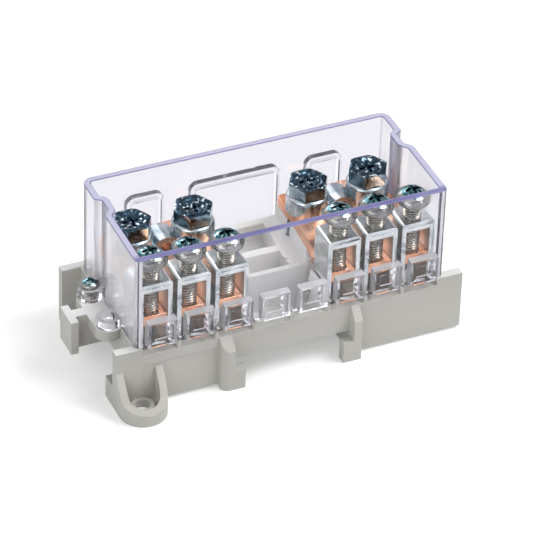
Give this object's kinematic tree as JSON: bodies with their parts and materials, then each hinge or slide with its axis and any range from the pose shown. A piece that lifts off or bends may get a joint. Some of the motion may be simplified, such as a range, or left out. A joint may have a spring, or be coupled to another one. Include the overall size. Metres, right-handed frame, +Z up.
{
  "type": "power distribution block",
  "caption": "Rail mounted power distribution block: grey insulating base with screw ears, clear open-topped cover, copper bars, screw cage clamps and bolted cable saddles.",
  "frame": {"origin": "middle between the two mounting ears' screw holes, on the plane that the ears and the rail hooks stand on", "axes": "+X along the row of clamps, away from the coupling key; +Y from the branch clamps to the main cable side; +Z up from the mounting plane"},
  "size_m": [0.1088, 0.0618, 0.0478],
  "materials": {
    "base_plastic": "light warm grey insulating plastic, fine matt",
    "clear_plastic": "clear polished plastic with a faint blue-violet tint at its edges",
    "zinc_steel": "bright bluish zinc plate",
    "copper": null
  },
  "bodies": {
    "block": {"base": "base_plastic", "base_plateau": "base_plastic", "base_left_seat": "base_plastic", "base_right_seat": "base_plastic", "base_front_ear": "base_plastic", "base_back_ear": "base_plastic", "cover": "clear_plastic", "cover_screw_left": "zinc_steel", "cover_screw_right": "zinc_steel", "left_busbar": "copper", "right_busbar": "copper", "saddle_nut_left_outer": "zinc_steel", "saddle_nut_left_inner": "zinc_steel", "saddle_nut_right_inner": "zinc_steel", "saddle_nut_right_outer": "zinc_steel"},
    "clamp_screw_1": {"clamp_screw_1": "zinc_steel"},
    "clamp_cage_1": {"clamp_cage_1": "zinc_steel"},
    "clamp_screw_2": {"clamp_screw_2": "zinc_steel"},
    "clamp_cage_2": {"clamp_cage_2": "zinc_steel"},
    "clamp_screw_3": {"clamp_screw_3": "zinc_steel"},
    "clamp_cage_3": {"clamp_cage_3": "zinc_steel"},
    "clamp_screw_4": {"clamp_screw_4": "zinc_steel"},
    "clamp_cage_4": {"clamp_cage_4": "zinc_steel"},
    "clamp_screw_5": {"clamp_screw_5": "zinc_steel"},
    "clamp_cage_5": {"clamp_cage_5": "zinc_steel"},
    "clamp_screw_6": {"clamp_screw_6": "zinc_steel"},
    "clamp_cage_6": {"clamp_cage_6": "zinc_steel"},
    "left_saddle": {"left_saddle": "zinc_steel"},
    "saddle_bolt_left_outer": {"saddle_bolt_left_outer": "zinc_steel"},
    "saddle_bolt_left_inner": {"saddle_bolt_left_inner": "zinc_steel"},
    "right_saddle": {"right_saddle": "zinc_steel"},
    "saddle_bolt_right_outer": {"saddle_bolt_right_outer": "zinc_steel"},
    "saddle_bolt_right_inner": {"saddle_bolt_right_inner": "zinc_steel"}
  },
  "joints": [
    {"name": "clamp_screw_1_turn", "type": "hinge", "parent": "block", "child": "clamp_screw_1", "pos_m": [-0.03832, -0.01325, 0.0266], "axis": [0, 0, -1], "range_deg": [0, 1890]},
    {"name": "clamp_cage_1_lift", "type": "slide", "parent": "block", "child": "clamp_cage_1", "axis": [0, 0, 1], "range_m": [0, 0.0042]},
    {"name": "clamp_screw_2_turn", "type": "hinge", "parent": "block", "child": "clamp_screw_2", "pos_m": [-0.02738, -0.01325, 0.0266], "axis": [0, 0, -1], "range_deg": [0, 1890]},
    {"name": "clamp_cage_2_lift", "type": "slide", "parent": "block", "child": "clamp_cage_2", "axis": [0, 0, 1], "range_m": [0, 0.0042]},
    {"name": "clamp_screw_3_turn", "type": "hinge", "parent": "block", "child": "clamp_screw_3", "pos_m": [-0.01642, -0.01325, 0.0266], "axis": [0, 0, -1], "range_deg": [0, 1890]},
    {"name": "clamp_cage_3_lift", "type": "slide", "parent": "block", "child": "clamp_cage_3", "axis": [0, 0, 1], "range_m": [0, 0.0042]},
    {"name": "clamp_screw_4_turn", "type": "hinge", "parent": "block", "child": "clamp_screw_4", "pos_m": [0.01642, -0.01325, 0.0266], "axis": [0, 0, -1], "range_deg": [0, 1890]},
    {"name": "clamp_cage_4_lift", "type": "slide", "parent": "block", "child": "clamp_cage_4", "axis": [0, 0, 1], "range_m": [0, 0.0042]},
    {"name": "clamp_screw_5_turn", "type": "hinge", "parent": "block", "child": "clamp_screw_5", "pos_m": [0.02738, -0.01325, 0.0266], "axis": [0, 0, -1], "range_deg": [0, 1890]},
    {"name": "clamp_cage_5_lift", "type": "slide", "parent": "block", "child": "clamp_cage_5", "axis": [0, 0, 1], "range_m": [0, 0.0042]},
    {"name": "clamp_screw_6_turn", "type": "hinge", "parent": "block", "child": "clamp_screw_6", "pos_m": [0.03832, -0.01325, 0.0266], "axis": [0, 0, -1], "range_deg": [0, 1890]},
    {"name": "clamp_cage_6_lift", "type": "slide", "parent": "block", "child": "clamp_cage_6", "axis": [0, 0, 1], "range_m": [0, 0.0042]},
    {"name": "left_saddle_lift", "type": "slide", "parent": "block", "child": "left_saddle", "axis": [0, 0, 1], "range_m": [0, 0.006]},
    {"name": "saddle_bolt_left_outer_turn", "type": "hinge", "parent": "left_saddle", "child": "saddle_bolt_left_outer", "pos_m": [-0.035, 0.0082, 0.0352], "axis": [0, 0, 1], "range_deg": [0, 2160]},
    {"name": "saddle_bolt_left_inner_turn", "type": "hinge", "parent": "left_saddle", "child": "saddle_bolt_left_inner", "pos_m": [-0.017, 0.0082, 0.0352], "axis": [0, 0, 1], "range_deg": [0, 2160]},
    {"name": "right_saddle_lift", "type": "slide", "parent": "block", "child": "right_saddle", "axis": [0, 0, 1], "range_m": [0, 0.006]},
    {"name": "saddle_bolt_right_outer_turn", "type": "hinge", "parent": "right_saddle", "child": "saddle_bolt_right_outer", "pos_m": [0.035, 0.0082, 0.0352], "axis": [0, 0, 1], "range_deg": [0, 2160]},
    {"name": "saddle_bolt_right_inner_turn", "type": "hinge", "parent": "right_saddle", "child": "saddle_bolt_right_inner", "pos_m": [0.017, 0.0082, 0.0352], "axis": [0, 0, 1], "range_deg": [0, 2160]}
  ],
  "couplings": [
    {"joint": "clamp_screw_1_turn", "follows": "clamp_cage_1_lift", "rad_per_m": 7854},
    {"joint": "clamp_screw_2_turn", "follows": "clamp_cage_2_lift", "rad_per_m": 7854},
    {"joint": "clamp_screw_3_turn", "follows": "clamp_cage_3_lift", "rad_per_m": 7854},
    {"joint": "clamp_screw_4_turn", "follows": "clamp_cage_4_lift", "rad_per_m": 7854},
    {"joint": "clamp_screw_5_turn", "follows": "clamp_cage_5_lift", "rad_per_m": 7854},
    {"joint": "clamp_screw_6_turn", "follows": "clamp_cage_6_lift", "rad_per_m": 7854},
    {"joint": "saddle_bolt_left_outer_turn", "follows": "left_saddle_lift", "rad_per_m": 6283.2},
    {"joint": "saddle_bolt_left_inner_turn", "follows": "left_saddle_lift", "rad_per_m": 6283.2},
    {"joint": "saddle_bolt_right_outer_turn", "follows": "right_saddle_lift", "rad_per_m": 6283.2},
    {"joint": "saddle_bolt_right_inner_turn", "follows": "right_saddle_lift", "rad_per_m": 6283.2}
  ]
}
